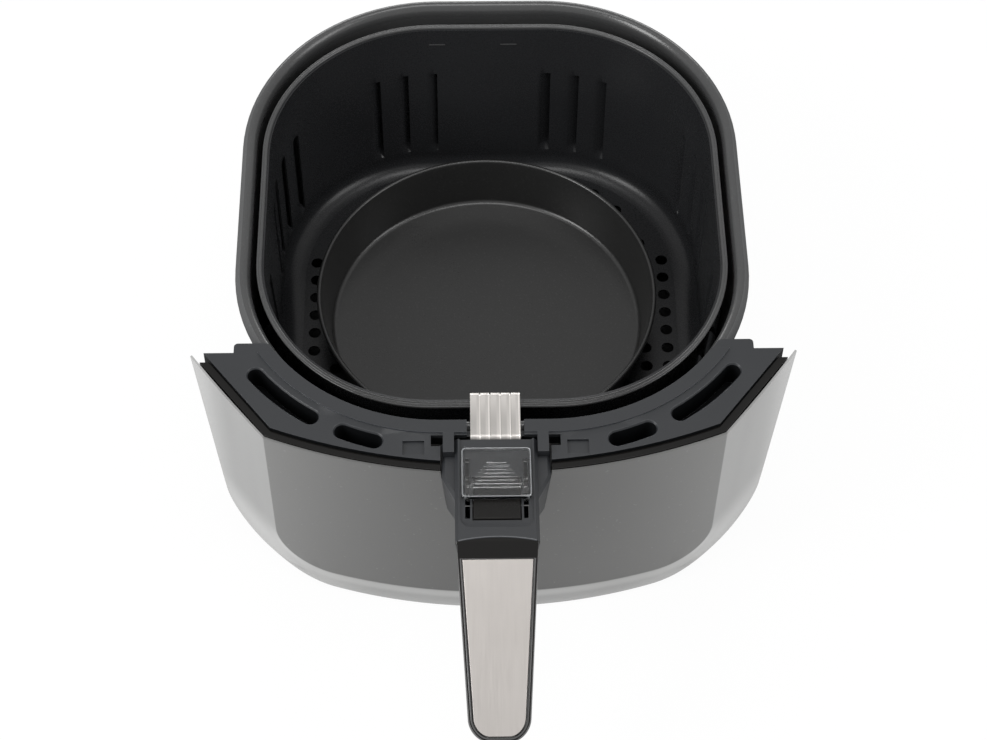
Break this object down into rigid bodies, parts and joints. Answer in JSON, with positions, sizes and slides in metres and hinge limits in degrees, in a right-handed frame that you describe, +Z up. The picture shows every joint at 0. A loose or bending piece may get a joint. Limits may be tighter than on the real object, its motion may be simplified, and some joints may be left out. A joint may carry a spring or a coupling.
{
  "type": "air fryer drawer",
  "caption": "Pulled-out air fryer drawer: coated pan with silver front, louvred lift-out basket with guarded release button on its handle, and a round baking tin inside.",
  "frame": {"origin": "middle of the pan's resting base", "axes": "+Z up, the handle points to -Y, the drawer slides along Y, +X to the right seen from the handle"},
  "size_m": [0.292, 0.4202, 0.1329],
  "materials": {
    "pan_coat": "charcoal satin non-stick coating on steel",
    "basket_coat": "near-black non-stick coating on steel",
    "tin_coat": "dark grey speckled non-stick coating on steel",
    "frame_plastic": "dark grey finely textured moulded plastic",
    "gloss_black": "gloss black moulded plastic",
    "panel_silver": "satin silver finish",
    "plain_steel": "zinc plated steel",
    "bright_steel": "bright pressed steel",
    "brushed_trim": "plate brushed lengthwise",
    "button_plastic": "dark moulded plastic",
    "clear_plastic": "clear moulded plastic"
  },
  "bodies": {
    "drawer": {"outer_pan": "pan_coat", "drawer_frame": "frame_plastic", "front_panel": "panel_silver", "panel_backing": "gloss_black", "rim_clamp": "plain_steel", "clamp_screws": "plain_steel"},
    "basket": {"basket_shell": "basket_coat", "basket_floor": "basket_coat", "basket_bracket": "bright_steel", "bracket_rivets": "bright_steel", "bracket_screws": "plain_steel", "handle_neck": "frame_plastic", "neck_cover": "frame_plastic", "cover_screws": "plain_steel", "grip_upper": "gloss_black", "grip_lower": "gloss_black", "grip_trim": "brushed_trim", "grip_screws": "plain_steel", "latch_pin": "plain_steel", "latch_spring": "plain_steel"},
    "release_button": {"release_button": "button_plastic"},
    "latch_lever": {"latch_lever": "frame_plastic"},
    "button_guard": {"button_guard": "clear_plastic"},
    "baking_tin": {"baking_tin": "tin_coat"}
  },
  "joints": [
    {"name": "basket_lift", "type": "slide", "parent": "drawer", "child": "basket", "axis": [0, 0, 1], "range_m": [0, 0.14]},
    {"name": "tin_lift", "type": "slide", "parent": "basket", "child": "baking_tin", "axis": [0, 0, 1], "range_m": [0, 0.11]},
    {"name": "guard_slide", "type": "slide", "parent": "basket", "child": "button_guard", "axis": [0, -1, 0], "range_m": [0, 0.011]},
    {"name": "button_press", "type": "slide", "parent": "basket", "child": "release_button", "axis": [0, 0, -1], "range_m": [0, 0.0025], "stiffness_N_per_m": 800, "springref_m": -0.002, "deforming": ["latch_spring"]},
    {"name": "latch_turn", "type": "hinge", "parent": "basket", "child": "latch_lever", "pos_m": [0, -0.16, 0.113], "axis": [1, 0, 0], "range_deg": [0, 10.5]}
  ],
  "couplings": [
    {"joint": "latch_turn", "follows": "button_press", "rad_per_m": 72}
  ]
}
